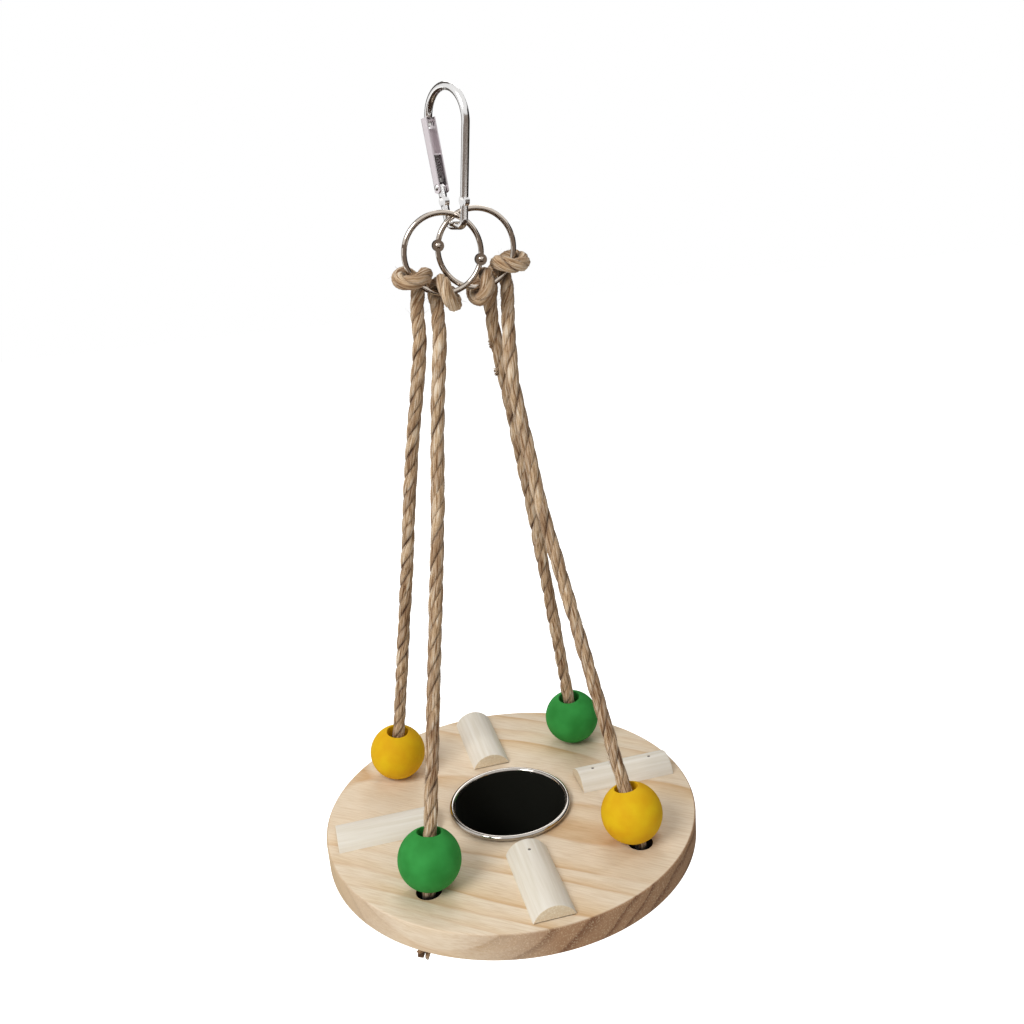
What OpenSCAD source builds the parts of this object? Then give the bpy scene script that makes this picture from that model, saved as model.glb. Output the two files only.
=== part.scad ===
// Hanging round bird swing: a wooden platform with a lift-out cup, four perches and four
// sliding beads, hung by two doubled ropes from two hinged rings on a snap hook.
// Millimetres. +Z is up, and the origin is the inside crown of the snap hook.

/* [Hanging] */
// Drop from the inside crown of the hook to the top of the board
drop = 291.5; // [290.5:0.5:292]

/* [Snap hook] */
// Overall length of the hook
hook_len = 50; // [48:0.5:52]
// Overall width of the hook at its bow
hook_w = 25; // [24:0.5:28]
// Diameter of the hook's rod
hook_rod_d = 2.9; // [2.6:0.1:3.1]
// Outside width at the narrow end
toe_w = 13; // [12.6:0.2:15]
// Straight stretch across the bottom of the narrow end
toe_flat = 4.4; // [4:0.2:5.2]
// Turn of the hook's plane about the vertical, in degrees
hook_turn = -65; // [-70:1:-60]
// Height of the gate's hinge rivet over the bottom rod
hinge_up = 13.5; // [12:0.5:16]
// Height of the latch pin over the bottom rod
latch_up = 36.5; // [35.5:0.5:39]
// Thickness of the gate's folded sheet
gate_sheet = 0.5; // [0.4:0.1:0.7]
// Clearance between the rod and the gate
gate_clear = 0.15; // [0.1:0.05:0.3]
// Diameter of the hinge rivet and of the latch pin
rivet_d = 1.2; // [1:0.1:1.4]
// Thickness of the rod where it is pinched flat
pinch_t = 2; // [1.6:0.1:2.4]
// Width of the pinched lobes
pinch_w = 4; // [3.4:0.1:4.4]
// Height of the pinched lobes over the bottom rod
pinch_up = 8.5; // [7.5:0.5:9.5]

/* [Gate spring] */
// Outside diameter of the gate spring
spring_d = 2.4; // [2:0.1:2.6]
// Wire of the gate spring
spring_wire = 0.4; // [0.3:0.05:0.45]
// Length of the gate spring
spring_len = 8; // [7:0.5:9]
// Turns of the gate spring
spring_turns = 8; // [6:1:9]
// Length of the pusher between spring and rod
pusher_len = 1.6; // [1.2:0.1:2]

/* [Rings] */
// Outside diameter of the hinged rings
ring_od = 30.4; // [30:0.2:31.4]
// Wire of the rings
ring_wire = 2; // [1.8:0.1:2.1]
// Gap between the two rings' wires
ring_gap = 0.6; // [0.5:0.1:0.8]
// Rise of the ring wire over the rod, because it crosses the rod at a slant
ring_lift = 0.75; // [0.7:0.05:0.9]
// Hang of the left ring from the vertical, in degrees
left_hang = 34; // [32:1:36]
// Hang of the right ring from the vertical, in degrees
right_hang = 38; // [36:1:39]
// Diameter of the rings' hinge knuckles
knuckle_d = 4.2; // [3.8:0.1:4.4]
// Thickness of the knuckle's tongue
tongue_t = 1; // [0.9:0.1:1.2]
// Thickness of each ear of the knuckle
ear_t = 0.7; // [0.6:0.05:0.8]
// Diameter of the knuckle's pin
pin_d = 1.2; // [1:0.1:1.4]
// Running clearance of hinge pins, on the radius
pin_clear = 0.05; // [0.04:0.01:0.08]
// Length of the lap where a ring closes
lap_len = 2.4; // [2:0.2:3]

/* [Ropes] */
// Diameter of the twisted rope
rope_d = 5.6; // [5:0.1:5.7]
// Width of the stopper knots
knot_w = 14; // [12:0.5:15]
// Length of the rope's tail under a knot
tail_len = 5; // [3:0.5:8]

/* [Board] */
// Diameter of the board
board_d = 160; // [156:1:175]
// Thickness of the board
board_t = 12; // [11:0.5:12.5]
// Rounding of the board's edges
board_round = 0.8; // [0.4:0.1:1.5]
// Distance of the rope holes from the board's edge, at their centres
hole_edge = 18; // [17:0.5:19]
// Diameter of the rope holes
rope_hole_d = 10; // [9.5:0.5:12]

/* [Beads] */
// Diameter of the beads
bead_d = 25; // [22:0.5:27]
// Bore of the beads
bead_bore = 9.5; // [9:0.1:10.5]
// Rounding of the bore's mouths
bead_mouth = 0.6; // [0.3:0.1:1]
// Gap between a bead and the board
bead_gap = 0.3; // [0.2:0.1:0.6]

/* [Perches] */
// Width of the half-round perches
perch_w = 17.2; // [14:0.2:20]
// Height of the half-round perches
perch_h = 6; // [5:0.2:8]
// Distance from the board's edge to a perch's outer end
perch_edge = 4.5; // [3:0.5:8]
// Space between the cup's rim and a perch's inner end
perch_room = 6.5; // [5:0.5:10]
// Diameter of the perch nails
nail_d = 0.9; // [0.8:0.1:1.2]
// Diameter of the nail heads
nail_head_d = 1.3; // [1.2:0.1:2]
// Depth of the nails in the board
nail_bite = 7; // [5:0.5:9]

/* [Cup] */
// Outside diameter of the cup's rolled rim
cup_rim_d = 53; // [51:0.5:55]
// Diameter of the roll of the rim
cup_roll_d = 2.4; // [2:0.1:3]
// Depth of the cup under the board's top
cup_depth = 35; // [25:1:42]
// Sheet thickness of the cup
cup_wall = 0.6; // [0.5:0.1:1]
// Rounding of the cup's bottom edge
cup_corner = 5; // [3:0.5:8]
// Draft of the cup's wall, in degrees
cup_draft = 3; // [1:0.5:5]
// Clearance of the cup in the board
cup_clear = 0.4; // [0.3:0.1:0.8]

/* [Hidden] */

$fn = 96;
// One overrun for every cut
over = 0.5;
// Seat gap between pieces of different bodies
seat = 0.3;

// Snap hook, in its own plane: s across, v up from the centre of the bottom rod
rod_r = hook_rod_d / 2;
bow_r = hook_w / 2 - rod_r;
toe_r = (toe_w - hook_rod_d - toe_flat) / 2;
bow_v = hook_len - hook_rod_d - bow_r;
toe_s = toe_flat / 2;
leg_tilt = asin((bow_r - toe_r) / norm([toe_s, bow_v - toe_r])) - atan2(toe_s, bow_v - toe_r);
leg_low = [toe_s + toe_r * cos(leg_tilt), toe_r - toe_r * sin(leg_tilt)];
leg_high = [bow_r * cos(leg_tilt), bow_v - bow_r * sin(leg_tilt)];
rod_z = rod_r - (hook_len - hook_rod_d);

// Point of a leg's centre at a height, on the spine's side
function leg_at(v) = [leg_low[0] + (v - leg_low[1]) * tan(leg_tilt), v];

function flipped(at) = [-at[0], at[1]];

hinge_at = flipped(leg_at(hinge_up));
latch_angle = asin((latch_up - bow_v) / bow_r);
latch_at = [-bow_r * cos(latch_angle), latch_up];
// Rod left below the latch pin, as an angle of the bow
nose_lip = 1.9;
nose_angle = latch_angle - nose_lip / bow_r * 180 / PI;
gate_dir = latch_at - hinge_at;
gate_tilt = atan2(gate_dir[0], gate_dir[1]);
gate_len = norm(gate_dir);
gate_in = rod_r + gate_clear;
gate_out = gate_in + gate_sheet;
gate_lip = gate_in;
// Fold radius of the gate's sheet, and overlap of its cheeks past the latch pin
gate_fold = 0.9;
cheek_past = 1;
// Space kept between the nose and the gate's back
nose_clear = 0.6;
latch_play = 0.4;
latch_slot = rivet_d + latch_play;
rivet_head_d = 2.2;
rivet_head_t = 0.5;
pinch_scallop = 4;
// Hairline seam where a straight stretch meets a bend, and the core that bridges it
seam = 0.02;
seam_depth = 0.06;
seam_core_len = 0.5;
stop_t = 0.5;
spring_rings = 8;
spring_sides = 6;

// Rings
wire_r = ring_wire / 2;
ring_r = ring_od / 2 - wire_r;
ring_y = (ring_wire + ring_gap) / 2;
ring_drop = ring_r - wire_r - rod_r - ring_lift;
left_ring = [-ring_drop * sin(left_hang), -ring_y, rod_z - ring_drop * cos(left_hang)];
right_ring = [ring_drop * sin(right_hang), ring_y, rod_z - ring_drop * cos(right_hang)];
// Angles round a ring from +X, towards +Z: the hinge, and where it closes
left_hinge = -14;
left_close = 172;
right_hinge = 171;
right_close = 8;
slot_clear = 0.1;
lap_clear = 0.1;
pin_head_d = 2;
pin_head_t = 0.35;

// Board
board_z = -drop;
board_r = board_d / 2;
hole_r = board_r - hole_edge;
perch_in = cup_rim_d / 2 + perch_room;
perch_len = board_r - perch_edge - perch_in;

// Hitch of a rope on a ring, as places along the wire, into the ring and back from it.
// The other half is its mirror image.
hitch_half = [
    [-3.2, 0, 4.2], [-4, 3.2, 3], [-4.6, 4.3, 0], [-5.3, 3, -3.1], [-6.3, 0, -4.3],
    [-7.8, -3.1, -3], [-8.9, -4.4, 0.2], [-9.6, -3.4, 3.8], [-9.2, -1, 7.6], [-6, 0.8, 10.2]
];
hitch_middle = [0, 1.4, 10.6];
left_hitch = 28;
right_hitch = -34;

// Routes of the four falls, from the knot up, as drawn for a board and rings at these places
drawn_hole_r = 62;
drawn_drop = 291.5;
drawn_left = [-6.151, -1.3, -54.769];
drawn_right = [6.772, 1.3, -54.318];
back_left_fall = [
    [-43.8, 43.8, -303], [-43.8, 43.8, -291], [-40, 38.5, -261], [-36, 33.1, -231],
    [-32.2, 27.8, -201], [-29, 23.3, -176], [-26, 19.1, -151], [-22.6, 14.2, -126],
    [-19.6, 9.8, -106], [-16.9, 6, -86], [-17, 3.6, -74]
];
front_left_fall = [
    [-43.8, -43.8, -303], [-43.8, -43.8, -291], [-38.8, -37, -261], [-33.6, -30, -231],
    [-28.4, -23, -201], [-24.2, -17.3, -176], [-20, -12, -151], [-16.6, -7.4, -126],
    [-13.6, -3.2, -106], [-10.2, 1, -86], [-9.6, 2.6, -74.2]
];
back_right_fall = [
    [43.8, 43.8, -303], [43.8, 43.8, -291], [39.6, 39, -261], [35.4, 34.2, -231],
    [31.2, 29.4, -201], [27.6, 25.4, -176], [23.6, 21, -151], [19.6, 16.6, -126],
    [15.7, 13, -102], [12.9, 10.6, -86], [11.9, 8.2, -76]
];
front_right_fall = [
    [43.8, -43.8, -303], [43.8, -43.8, -291], [39, -35.8, -261], [34.2, -27.8, -231],
    [29.4, -19.8, -201], [25.4, -13.2, -176], [21.6, -7, -151], [18.9, -2.4, -126],
    [16.4, 0.4, -104], [16.8, 2.4, -86], [17.6, 3.8, -76], [18, 4.8, -68]
];

// Ropes
rope_r = rope_d / 2;
rope_sides = 8;
run_pitch = 3 * rope_d;
loop_step = 7;

// Tilt of a knot's turns, and how far one is turned past the other
knot_tilt = 28;
knot_cross = 100;

// Beads
bead_r = bead_d / 2;
bore_r = bead_bore / 2;
// Share of its rope's lean that a bead takes up
bead_lean_share = 0.7;

// Perches, turned from +X; the shift is sideways, as a share of the width
perch_turns = [0, 90, 180, 270];
perch_shift_shares = [0.33, 0.03, -0.05, -0.1];
// Places of the nails along each perch, as shares of its length
nail_shares = [[0.17, 0.8], [], [], [0.17]];
perch_arc_r = (perch_w * perch_w / 4 + perch_h * perch_h) / (2 * perch_h);
nail_hole_d = nail_d + 2 * pin_clear;
nail_head_t = 0.5;
nail_sink = 0.2;

// Cup
roll_r = cup_roll_d / 2;
cup_top_r = cup_rim_d / 2 - cup_roll_d + cup_wall;
cup_hole_r = cup_top_r + cup_clear;

// Smooth run through chosen points
function unit(v) = v / norm(v);
function heading(p, i) = unit(p[min(i + 1, len(p) - 1)] - p[max(i - 1, 0)]);
function between(a, b, ta, tb, u) =
    let (reach = norm(b - a))
    (2 * u * u * u - 3 * u * u + 1) * a + (u * u * u - 2 * u * u + u) * reach * ta
    + (3 * u * u - 2 * u * u * u) * b + (u * u * u - u * u) * reach * tb;
function steps(a, b) = norm(b - a) < loop_step ? 2 : ceil(norm(b - a) / run_pitch);
function smooth_run(p) = [
    for (i = [0:len(p) - 2])
        let (n = steps(p[i], p[i + 1]))
        for (k = [0:n - 1]) between(p[i], p[i + 1], heading(p, i), heading(p, i + 1), k / n),
    p[len(p) - 1]
];

// Normals carried along a path without twist
function carried(n, t) = unit(n - (n * t) * t);
function normals(p) = [
    for (
        i = 0, n = carried([0.3, 1, 0.2], heading(p, 0));
        i < len(p);
        i = i + 1, n = carried(n, heading(p, min(i, len(p) - 1)))
    ) n
];

// Round tube along a path: points, then triangles
function tube_points(p, r, sides) =
    let (ns = normals(p))
    [
        for (i = [0:len(p) - 1])
            let (t = heading(p, i), n = ns[i], b = cross(t, n))
            for (k = [0:sides - 1])
                p[i] + r * (cos(360 * k / sides) * n + sin(360 * k / sides) * b)
    ];
function tube_faces(rings, sides) = [
    for (k = [1:sides - 2]) [0, k + 1, k],
    for (i = [0:rings - 2])
        for (k = [0:sides - 1])
            let (a = i * sides + k, b = i * sides + (k + 1) % sides)
            each [[a, b, b + sides], [a, b + sides, a + sides]],
    for (k = [1:sides - 2])
        [(rings - 1) * sides, (rings - 1) * sides + k, (rings - 1) * sides + k + 1]
];
module tube(p, r, sides) {
    polyhedron(tube_points(p, r, sides), [for (f = tube_faces(len(p), sides)) [f[0], f[2], f[1]]]);
}

// Place on a ring: the hitch's own numbers turned onto the ring's wire
function on_ring(centre, turn, at) =
    let (angle = turn - at[0] / ring_r * 180 / PI, reach = ring_r - at[1])
    centre + [-reach * sin(angle), at[2], -reach * cos(angle)];
function mirrored(half) = [for (i = [len(half) - 1:-1:0]) [-half[i][0], half[i][1], half[i][2]]];
function hitch(centre, turn) = [
    for (at = concat(hitch_half, [hitch_middle], mirrored(hitch_half))) on_ring(centre, turn, at)
];
function reversed(p) = [for (i = [len(p) - 1:-1:0]) p[i]];

// A drawn fall, moved with the rope hole at its foot and with the ring at its top
function placed(fall, ring, drawn) = [
    for (p = fall)
        let (share = max(0, min(1, (p[2] + drawn_drop) / (drawn[2] + drawn_drop))),
            foot = (hole_r - drawn_hole_r) * cos(45))
        p + (1 - share) * [sign(fall[1][0]) * foot, sign(fall[1][1]) * foot, board_z + drawn_drop]
            + share * (ring - drawn)
];
back_left = placed(back_left_fall, left_ring, drawn_left);
front_left = placed(front_left_fall, left_ring, drawn_left);
back_right = placed(back_right_fall, right_ring, drawn_right);
front_right = placed(front_right_fall, right_ring, drawn_right);
left_route = concat(back_left, hitch(left_ring, left_hitch), reversed(front_left));
right_route = concat(back_right, hitch(right_ring, right_hitch), reversed(front_right));

// Least gap of a rope to itself, on the points of its run
function gap_to_itself(p) = min([
    for (i = [0:len(p) - 1])
        for (j = [i + 1:1:len(p) - 1])
            if (route_length(p, i, j) > 3 * rope_d) norm(p[i] - p[j])
]) - rope_d;
function route_length(p, i, j) = i >= j ? 0 : norm(p[i + 1] - p[i]) + route_length(p, i + 1, j);

// Points on a fall
function lean_dir(fall) = unit(fall[4] - fall[1]);
function on_fall(fall, up) =
    let (share = (board_z + up - fall[1][2]) / (fall[2][2] - fall[1][2]))
    fall[1] + share * (fall[2] - fall[1]);

module rod(a, b, d) {
    translate([a[0], 0, a[1]])
        rotate([0, atan2(b[0] - a[0], b[1] - a[1]), 0])
            cylinder(d = d, h = norm(b - a));
}

module rod_arc(centre, r, from, to, d) {
    translate([centre[0], 0, centre[1]])
        rotate([90, 0, 0])
            rotate([0, 0, from])
                rotate_extrude(angle = to - from)
                    translate([r, 0])
                        circle(d = d);
}

module cross_pin(at, d, length) {
    translate([at[0], 0, at[1]])
        rotate([90, 0, 0])
            cylinder(d = d, h = length, center = true);
}

module in_hook() {
    translate([0, 0, rod_z])
        rotate([0, 0, hook_turn])
            children();
}

module seam_core(at, tilt) {
    translate([at[0], 0, at[1]])
        rotate([0, tilt, 0])
            cylinder(d = hook_rod_d - 2 * seam_depth, h = seam_core_len, center = true);
}

module pinch_cuts(side) {
    at = leg_at(pinch_up);
    translate([side * at[0], 0, at[1]])
        rotate([0, side * leg_tilt, 0])
            for (face = [-1, 1])
                translate([0, face * (pinch_t / 2 + pinch_scallop), 0])
                    rotate([0, 90, 0])
                        cylinder(r = pinch_scallop, h = 2 * pinch_w, center = true);
}

module pinch_lobe(side) {
    at = leg_at(pinch_up);
    cross_pin([side * at[0], at[1]], pinch_w, pinch_t);
}

module hook_frame() {
    color("silver")
        in_hook() {
            difference() {
                union() {
                    rod([seam - toe_s, 0], [toe_s - seam, 0], hook_rod_d);
                    rod_arc([toe_s, toe_r], toe_r, -90, -leg_tilt, hook_rod_d);
                    rod_arc([-toe_s, toe_r], toe_r, 180 + leg_tilt, 270, hook_rod_d);
                    rod(leg_at(leg_low[1] + seam), leg_at(leg_high[1] - seam), hook_rod_d);
                    rod(flipped(leg_at(leg_low[1] + seam)), hinge_at, hook_rod_d);
                    for (at = [leg_low, flipped(leg_low), leg_high])
                        seam_core(at, at[0] > 0 ? leg_tilt : -leg_tilt);
                    for (side = [-1, 1])
                        seam_core([side * toe_s, 0], 90);
                    translate([hinge_at[0], 0, hinge_at[1]])
                        sphere(d = hook_rod_d);
                    rod_arc([0, bow_v], bow_r, -leg_tilt, 180 - nose_angle, hook_rod_d);
                }
                for (side = [-1, 1])
                    pinch_cuts(side);
                cross_pin(hinge_at, rivet_d + 2 * pin_clear, hook_rod_d + over);
                latch_notch();
            }
            for (side = [-1, 1])
                pinch_lobe(side);
        }
}

// Slot in the nose that the latch pin leaves inwards
module latch_notch() {
    translate([latch_at[0], 0, latch_at[1]])
        rotate([0, gate_tilt, 0]) {
            rotate([90, 0, 0])
                cylinder(d = latch_slot, h = hook_rod_d + over, center = true);
            translate([0, -(hook_rod_d + over) / 2, -latch_slot / 2])
                cube([hook_rod_d, hook_rod_d + over, latch_slot]);
        }
}

module gate_rivet() {
    color("gainsboro")
        in_hook() {
            cross_pin(hinge_at, rivet_d, 2 * (gate_out + pin_clear) + rivet_head_t);
            for (face = [-1, 1])
                translate([hinge_at[0], face * (gate_out + pin_clear), hinge_at[1]])
                    rotate([-90 * face, 0, 0])
                        rivet_head(rivet_head_d, rivet_head_t);
        }
}

// Low domed head that stands on the plane z = 0
module rivet_head(d, t) {
    dome_r = (d * d / 4 + t * t) / (2 * t);
    intersection() {
        translate([0, 0, t - dome_r])
            sphere(r = dome_r);
        cylinder(d = d, h = t);
    }
}

module in_gate() {
    in_hook()
        translate([hinge_at[0], 0, hinge_at[1]])
            rotate([0, gate_tilt, 0])
                children();
}

// Section of the folded gate: a channel that is open towards the inside of the hook
module gate_section() {
    difference() {
        union() {
            translate([-gate_out + gate_fold, -gate_out])
                square([gate_out + gate_lip - gate_fold, 2 * gate_out]);
            translate([-gate_out, -gate_out + gate_fold])
                square([gate_fold, 2 * (gate_out - gate_fold)]);
            for (face = [-1, 1])
                translate([-gate_out + gate_fold, face * (gate_out - gate_fold)])
                    circle(r = gate_fold);
        }
        translate([-gate_in, -gate_in])
            square([gate_in + gate_lip + over, 2 * gate_in]);
    }
}

module hook_gate() {
    back_top = gate_len - nose_lip - nose_clear;
    color("whitesmoke")
        in_gate() {
            difference() {
                intersection() {
                    translate([0, 0, -gate_out])
                        linear_extrude(gate_out + gate_len + cheek_past)
                            gate_section();
                    union() {
                        rotate([90, 0, 0])
                            cylinder(r = gate_out, h = 4 * gate_out, center = true);
                        translate([-gate_out, -2 * gate_out, 0])
                            cube([2 * gate_out, 4 * gate_out, gate_len + cheek_past]);
                    }
                }
                translate([-gate_out - over, -gate_in, back_top])
                    cube([gate_sheet + gate_clear + 2 * over, 2 * gate_in, gate_len]);
                rotate([90, 0, 0])
                    cylinder(d = rivet_d + 2 * pin_clear, h = 4 * gate_out, center = true);
            }
            translate([0, 0, gate_len])
                rotate([90, 0, 0])
                    cylinder(d = rivet_d, h = 2 * gate_out, center = true);
            translate([-gate_in, -gate_in, spring_base + spring_len])
                cube([gate_in + spring_d / 2, 2 * gate_in, stop_t]);
        }
}

spring_base = rod_r + gate_clear + pusher_len;

module gate_pusher() {
    color("dimgray")
        in_gate()
            translate([0, 0, rod_r + gate_clear])
                cylinder(d = spring_d, h = pusher_len);
}

module gate_spring() {
    coil_r = (spring_d - spring_wire) / 2;
    rise = spring_len - spring_wire;
    count = spring_turns * spring_rings;
    coil = [
        for (i = [0:count])
            [
                coil_r * cos(360 * i / spring_rings),
                coil_r * sin(360 * i / spring_rings),
                spring_base + spring_wire / 2 + rise * i / count
            ]
    ];
    color("gray")
        in_gate()
            tube(coil, spring_wire / 2, spring_sides);
}

// Ring pieces lie in a plane square to Y, with the centre at the origin
module ring_arc(from, to) {
    rod_arc([0, 0], ring_r, from, to, ring_wire);
}

module at_angle(angle) {
    translate([ring_r * cos(angle), 0, ring_r * sin(angle)])
        rotate([0, -angle, 0])
            children();
}

module disc(d, t) {
    rotate([90, 0, 0])
        cylinder(d = d, h = t, center = true);
}

// Half of the lapped joint that one end gives up; side is the half along Y
module lap_cut(angle, side) {
    lap_angle = lap_len / ring_r * 180 / PI;
    intersection() {
        rod_arc([0, 0], ring_r, angle - lap_angle, angle + lap_angle, ring_wire + over);
        translate([-ring_od, side > 0 ? -lap_clear / 2 : lap_clear / 2 - ring_wire, -ring_od])
            cube([2 * ring_od, ring_wire, 2 * ring_od]);
    }
}

// Ends are given in turning order; the hinge and the lap lie at those angles
module ring_lower(hinge, close, way) {
    slot_t = tongue_t + 2 * slot_clear;
    lap_angle = lap_len / 2 / ring_r * 180 / PI;
    from = way > 0 ? close - 360 - lap_angle : hinge - 360;
    to = way > 0 ? hinge : close + lap_angle;
    difference() {
        union() {
            ring_arc(from, to);
            at_angle(hinge)
                disc(knuckle_d, slot_t + 2 * ear_t);
        }
        at_angle(hinge) {
            disc(knuckle_d + 4 * slot_clear, slot_t);
            disc(pin_d + 2 * pin_clear, knuckle_d);
        }
        lap_cut(close, 1);
    }
}

module ring_upper(hinge, close, way) {
    lap_angle = lap_len / 2 / ring_r * 180 / PI;
    from = way > 0 ? hinge : close - lap_angle;
    to = way > 0 ? close + lap_angle : hinge;
    difference() {
        union() {
            difference() {
                ring_arc(from, to);
                at_angle(hinge)
                    disc(knuckle_d + 4 * slot_clear, knuckle_d);
            }
            intersection() {
                ring_arc(from, to);
                translate([-ring_od, -tongue_t / 2, -ring_od])
                    cube([2 * ring_od, tongue_t, 2 * ring_od]);
            }
            at_angle(hinge)
                disc(knuckle_d, tongue_t);
        }
        at_angle(hinge)
            disc(pin_d + 2 * pin_clear, knuckle_d);
        lap_cut(close, -1);
    }
}

module ring_pin(hinge) {
    half = tongue_t / 2 + slot_clear + ear_t + pin_clear;
    at_angle(hinge) {
        disc(pin_d, 2 * half);
        for (face = [-1, 1])
            translate([0, face * half, 0])
                rotate([-90 * face, 0, 0])
                    rivet_head(pin_head_d, pin_head_t);
    }
}

module left_ring_lower() {
    color("lightsteelblue")
        translate(left_ring)
            ring_lower(left_hinge, left_close, 1);
}

module left_ring_upper() {
    color("lightsteelblue")
        translate(left_ring)
            ring_upper(left_hinge, left_close, 1);
}

module left_ring_pin() {
    color("slategray")
        translate(left_ring)
            ring_pin(left_hinge);
}

module right_ring_lower() {
    color("lightsteelblue")
        translate(right_ring)
            ring_lower(right_hinge, right_close, -1);
}

module right_ring_upper() {
    color("lightsteelblue")
        translate(right_ring)
            ring_upper(right_hinge, right_close, -1);
}

module right_ring_pin() {
    color("slategray")
        translate(right_ring)
            ring_pin(right_hinge);
}

module left_rope() {
    color("tan")
        tube(smooth_run(left_route), rope_r, rope_sides);
}

module right_rope() {
    color("tan")
        tube(smooth_run(right_route), rope_r, rope_sides);
}

// Stopper knot under the board: two crossed turns of rope, a neck and a tail
module stopper_knot(fall) {
    turn_r = (knot_w - rope_d) / 2;
    middle = board_z - board_t - seat - turn_r * sin(knot_tilt) - rope_r;
    low = middle - rope_r - tail_len;
    color("peru") {
        translate([fall[0][0], fall[0][1], low])
            cylinder(r = rope_r, h = fall[0][2] - low);
        for (turn = [0, knot_cross])
            translate([fall[0][0], fall[0][1], middle])
                rotate([knot_tilt, 0, turn])
                    rotate_extrude()
                        translate([turn_r, 0])
                            circle(r = rope_r);
    }
}

module knot_back_left() {
    stopper_knot(back_left);
}

module knot_front_left() {
    stopper_knot(front_left);
}

module knot_back_right() {
    stopper_knot(back_right);
}

module knot_front_right() {
    stopper_knot(front_right);
}

// Bead on its fall, leaning partly with the rope
module bead(fall, tone) {
    dir = lean_dir(fall);
    lean = acos(dir[2]) * bead_lean_share;
    heading_angle = atan2(dir[1], dir[0]);
    up = bead_gap + bead_r * cos(asin(bore_r / bead_r) - lean);
    color(tone)
        translate(on_fall(fall, up))
            rotate([0, 0, heading_angle])
                rotate([0, lean, 0])
                    rotate_extrude()
                        bead_section();
}

module bead_section() {
    mouth_z = sqrt(bead_r * bead_r - bore_r * bore_r);
    difference() {
        intersection() {
            circle(r = bead_r);
            translate([bore_r, -bead_r])
                square([bead_r, bead_d]);
        }
        for (end = [-1, 1])
            polygon([
                [bore_r - over, end * (mouth_z - bead_mouth - over)],
                [bore_r + bead_mouth + over, end * (mouth_z + over)],
                [bore_r - over, end * (mouth_z + over)]
            ]);
    }
}

module bead_back_left() {
    bead(back_left, "gold");
}

module bead_front_left() {
    bead(front_left, "green");
}

module bead_back_right() {
    bead(back_right, "green");
}

module bead_front_right() {
    bead(front_right, "gold");
}

module platform() {
    color("burlywood")
        difference() {
            translate([0, 0, board_z - board_t])
                rotate_extrude()
                    board_section();
            translate([0, 0, board_z - board_t - over])
                cylinder(r = cup_hole_r, h = board_t + 2 * over);
            for (turn = [45:90:315])
                rotate([0, 0, turn])
                    translate([hole_r, 0, board_z - board_t - over])
                        cylinder(d = rope_hole_d, h = board_t + 2 * over);
            for (i = [0:len(perch_turns) - 1])
                at_nails(i)
                    translate([0, 0, -nail_bite - over])
                        cylinder(d = nail_hole_d, h = nail_bite + 2 * over);
        }
}

module board_section() {
    square([board_r - board_round, board_t]);
    translate([0, board_round])
        square([board_r, board_t - 2 * board_round]);
    for (z = [board_round, board_t - board_round])
        translate([board_r - board_round, z])
            circle(r = board_round);
}

// Puts children on the board's top, at a perch's inner end, with X along the perch
module at_perch(i) {
    rotate([0, 0, perch_turns[i]])
        translate([perch_in, perch_shift_shares[i] * perch_w, board_z])
            children();
}

module at_nails(i) {
    at_perch(i)
        for (share = nail_shares[i])
            translate([share * perch_len, 0, 0])
                children();
}

module perch(i) {
    color("ivory")
        difference() {
            at_perch(i)
                rotate([90, 0, 90])
                    linear_extrude(perch_len)
                        intersection() {
                            translate([0, perch_h - perch_arc_r])
                                circle(r = perch_arc_r);
                            translate([-perch_w / 2, 0])
                                square([perch_w, perch_h]);
                        }
            at_nails(i) {
                translate([0, 0, -over])
                    cylinder(d = nail_hole_d, h = perch_h + 2 * over);
                translate([0, 0, perch_h - nail_sink - nail_head_t - pin_clear])
                    cylinder(d = nail_head_d + 2 * pin_clear, h = perch_h);
            }
        }
}

module perch_right() {
    perch(0);
}

module perch_back() {
    perch(1);
}

module perch_left() {
    perch(2);
}

module perch_front() {
    perch(3);
}

module perch_nails() {
    color("dimgray")
        for (i = [0:len(perch_turns) - 1])
            at_nails(i) {
                translate([0, 0, -nail_bite])
                    cylinder(d = nail_d, h = nail_bite + perch_h - nail_sink - nail_head_t);
                translate([0, 0, perch_h - nail_sink - nail_head_t])
                    cylinder(d = nail_head_d, h = nail_head_t);
            }
}

// Half section of the cup's body down from the board's top; inset gives the inside
module cup_section(inset) {
    r_top = cup_top_r - inset;
    corner = cup_corner - inset;
    low_r = r_top - (cup_depth - cup_corner) * tan(cup_draft);
    centre = [low_r - corner / cos(cup_draft), cup_corner - cup_depth];
    wall_low = centre + corner * [cos(cup_draft), -sin(cup_draft)];
    polygon([
        [0, -cup_depth + inset],
        [centre[0], -cup_depth + inset],
        centre,
        wall_low,
        [r_top, 0],
        [r_top, roll_r + seat],
        [0, roll_r + seat]
    ]);
    intersection() {
        translate(centre)
            circle(r = corner);
        translate([centre[0], -cup_depth])
            square([corner, cup_corner]);
    }
}

module cup() {
    color("lightgray")
        translate([0, 0, board_z])
            rotate_extrude()
                union() {
                    difference() {
                        cup_section(0);
                        cup_section(cup_wall);
                        square([cup_top_r - cup_wall, cup_roll_d + seat + over]);
                    }
                    translate([cup_top_r - cup_wall + roll_r, roll_r + seat])
                        circle(r = roll_r);
                }
}

echo(spring_gap = (spring_len - spring_wire) / spring_turns - spring_wire);
echo(left_rope_gap = gap_to_itself(smooth_run(left_route)));
echo(right_rope_gap = gap_to_itself(smooth_run(right_route)));

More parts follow.
